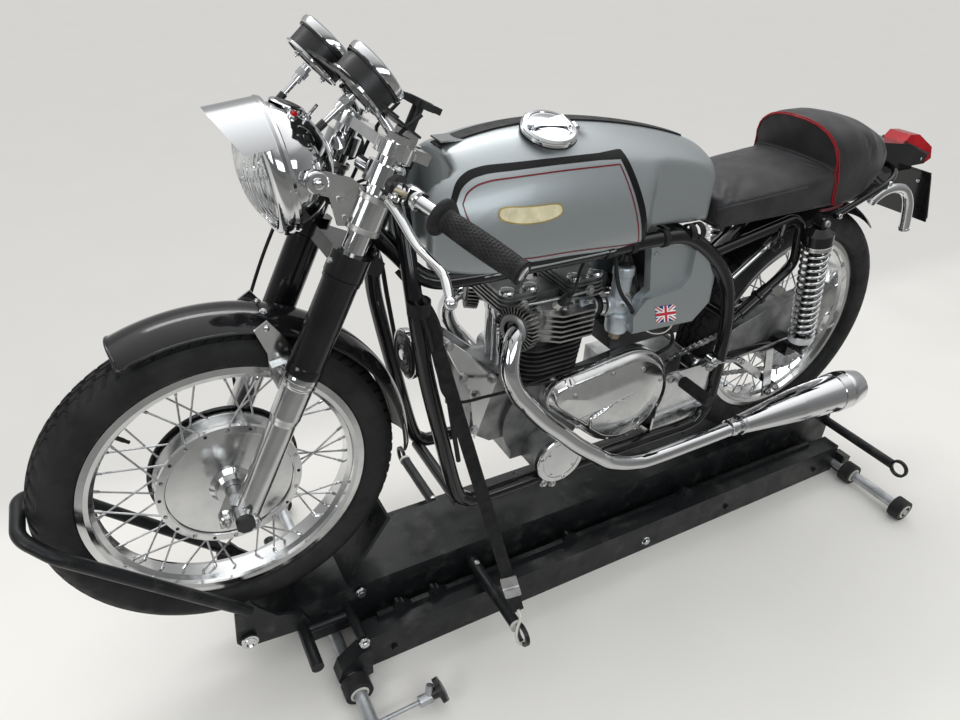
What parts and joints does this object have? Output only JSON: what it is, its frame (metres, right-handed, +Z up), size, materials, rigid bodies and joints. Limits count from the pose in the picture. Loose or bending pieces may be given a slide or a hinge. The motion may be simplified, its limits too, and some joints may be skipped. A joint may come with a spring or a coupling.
{
  "type": "motorcycle on a lift",
  "caption": "Cafe racer motorcycle with a twin-loop frame, parallel-twin engine, wire wheels and humped seat, held upright on a low black roller lift.",
  "frame": {"origin": "on the floor, under the middle of the bounding box of bike and lift", "axes": "+X ahead of the bike, +Y to the rider's left, +Z up"},
  "size_m": [2.178, 0.802, 1.2588],
  "materials": {
    "black_barrel": "satin",
    "black_paint": "gloss",
    "black_plastic": "satin",
    "cast_alloy": "satin",
    "chrome": "polished",
    "lamp_glass": "clear",
    "lift_paint": "satin",
    "polished_alloy": "polished",
    "red_plastic": "gloss",
    "rubber": "matte",
    "seat_leather": "satin",
    "silver_paint": "satin",
    "steel": "satin",
    "tyre": "matte"
  },
  "bodies": {
    "chassis": {"carburettors": "cast_alloy", "crankcase": "cast_alloy", "cylinder_barrel": "black_barrel", "cylinder_head": "cast_alloy", "drive_chain": "steel", "engine_plates": "polished_alloy", "exhaust_pipes": "chrome", "footrests": "rubber", "frame": "black_paint", "fuel_tank": "silver_paint", "gearbox": "cast_alloy", "horn": "black_plastic", "lift_base": "lift_paint", "lift_deck": "lift_paint", "primary_cover": "polished_alloy", "rear_axle": "steel", "rear_mudguard": "black_paint", "rear_shocks": "black_paint", "rocker_boxes": "polished_alloy", "roller_tubes": "steel", "rollers": "rubber", "seat": "seat_leather", "seat_rails": "black_paint", "shock_springs": "chrome", "side_panels": "silver_paint", "silencers": "chrome", "swingarm": "black_paint", "tail_bracket": "black_paint", "tail_lamp": "red_plastic", "tail_stays": "chrome", "tank_strap": "rubber", "tie_down_arms": "lift_paint", "wheel_hoop": "lift_paint"},
    "steering": {"front_axle": "steel", "fork_sliders": "polished_alloy", "fork_covers": "black_paint", "bottom_yoke": "black_paint", "fork_stanchions": "chrome", "top_yoke": "polished_alloy", "damper_knob": "black_plastic", "front_brake_plate": "black_paint", "front_mudguard": "black_paint", "mudguard_stays": "polished_alloy", "headlamp_body": "chrome", "headlamp_glass": "lamp_glass", "headlamp_brackets": "polished_alloy", "clocks": "black_plastic", "clock_faces": "lamp_glass", "clip_on_bars": "chrome", "grips": "rubber"},
    "front_wheel": {"front_tyre": "tyre", "front_rim": "polished_alloy", "front_hub": "polished_alloy", "front_spokes": "steel"},
    "rear_wheel": {"rear_tyre": "tyre", "rear_rim": "polished_alloy", "rear_hub": "polished_alloy", "rear_spokes": "steel", "rear_sprocket": "steel"},
    "cap": {"filler_cap": "chrome"}
  },
  "joints": [
    {"name": "steering_turn", "type": "hinge", "parent": "chassis", "child": "steering", "pos_m": [0.6792, 0, 0.459], "axis": [-0.4431, 0, 0.8965], "range_deg": [-3, 3]},
    {"name": "front_wheel_spin", "type": "hinge", "parent": "steering", "child": "front_wheel", "pos_m": [0.742, 0, 0.49], "axis": [0, 1, 0], "continuous": true},
    {"name": "rear_wheel_spin", "type": "hinge", "parent": "chassis", "child": "rear_wheel", "pos_m": [-0.689, 0, 0.489], "axis": [0, 1, 0], "continuous": true},
    {"name": "cap_hinge", "type": "hinge", "parent": "chassis", "child": "cap", "pos_m": [0.075, 0.05934, 1.08843], "axis": [0, -0.9426, 0.3338], "range_deg": [0, 80]}
  ]
}
